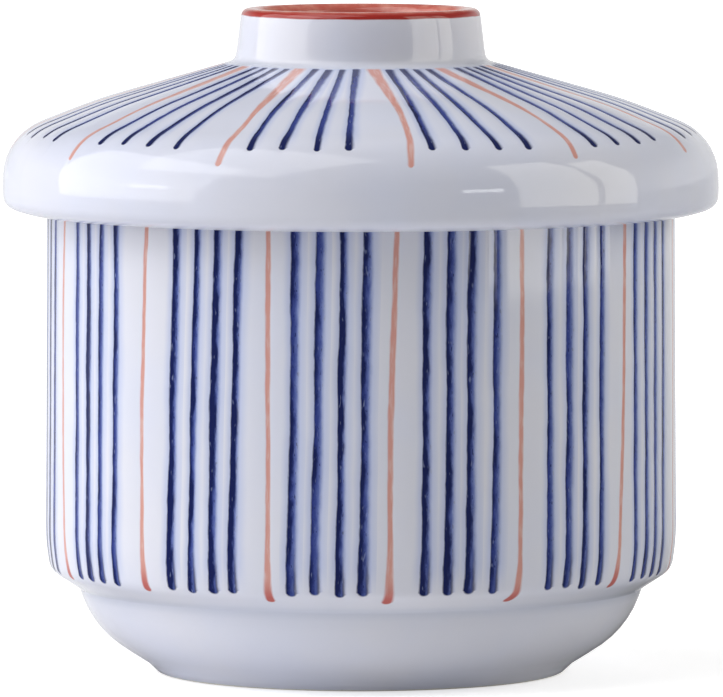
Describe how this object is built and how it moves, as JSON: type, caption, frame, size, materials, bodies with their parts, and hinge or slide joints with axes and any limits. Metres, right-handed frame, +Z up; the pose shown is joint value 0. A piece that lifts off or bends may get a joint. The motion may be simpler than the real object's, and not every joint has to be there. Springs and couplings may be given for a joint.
{
  "type": "lidded rice bowl",
  "caption": "Straight-walled round porcelain bowl on a low foot ring, with a wide overhanging lid that has a ring-shaped knob and lifts straight off.",
  "frame": {"origin": "centre of the circle that the foot ring stands on", "axes": "+Z up along the axis of revolution, out through the knob; -Y towards the viewer of the painted front, +X to that viewer's right"},
  "size_m": [0.1, 0.1, 0.0927],
  "materials": {
    "glazed_porcelain": "clear gloss glaze over bluish white porcelain, with blue and red underglaze brush strokes and a red painted knob rim"
  },
  "bodies": {
    "bowl": {"bowl": "glazed_porcelain"},
    "lid": {"lid": "glazed_porcelain"}
  },
  "joints": [
    {"name": "lid_lift", "type": "slide", "parent": "bowl", "child": "lid", "axis": [0, 0, 1], "range_m": [0, 0.08]}
  ]
}
